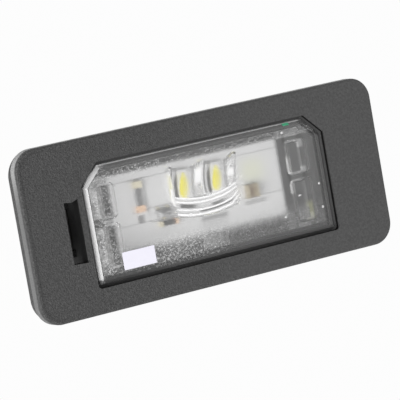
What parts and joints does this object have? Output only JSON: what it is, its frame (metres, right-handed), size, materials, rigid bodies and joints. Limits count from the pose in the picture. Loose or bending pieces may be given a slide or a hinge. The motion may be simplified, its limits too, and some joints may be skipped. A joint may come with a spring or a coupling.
{
  "type": "number plate lamp",
  "caption": "Flush rectangular number plate lamp for a car: black bezel with a release slot, clear window with cut corners over a white circuit board, plug socket, hook and retaining spring.",
  "frame": {"origin": "centre of the gasket's seating face, which lies on the outside of the car panel", "axes": "+X along the length towards the hook, +Y across the width towards the window's cut corners, +Z out of the window, away from the car panel"},
  "size_m": [0.084, 0.035, 0.0193],
  "materials": {
    "black_moulding": "fine leather-like grain",
    "foam": "closed-cell foam",
    "clear_cover": "clear moulded plastic with a frosted border",
    "clear_optic": "clear moulded plastic",
    "board_white": "white solder resist",
    "package_white": "moulded white package",
    "phosphor": "yellow silicone fill",
    "slab_dark": "coated ceramic slab",
    "tinned": "tinned terminal with solder",
    "diode_dark": "moulded body",
    "capacitor_brown": "brown ceramic",
    "chip_grey": "moulded body",
    "blade": "tin-plated brass",
    "solder": "solder",
    "spring_steel": "rolled spring steel"
  },
  "bodies": {
    "root": {"housing": "black_moulding", "gasket": "foam", "lens": "clear_cover", "led_optic": "clear_optic", "circuit_board": "board_white", "led_package_left": "package_white", "led_package_right": "package_white", "led_phosphor_left": "phosphor", "led_phosphor_right": "phosphor", "resistor_slab": "slab_dark", "resistor_end_upper": "tinned", "resistor_end_lower": "tinned", "diode_body": "diode_dark", "diode_end_left": "tinned", "diode_end_right": "tinned", "capacitor_body": "capacitor_brown", "capacitor_end_left": "tinned", "capacitor_end_right": "tinned", "driver_chip": "chip_grey", "driver_chip_legs": "tinned", "contact_blade_upper": "blade", "contact_blade_lower": "blade", "solder_joint_upper": "solder", "solder_joint_lower": "solder", "retaining_spring": "spring_steel"}
  },
  "joints": []
}
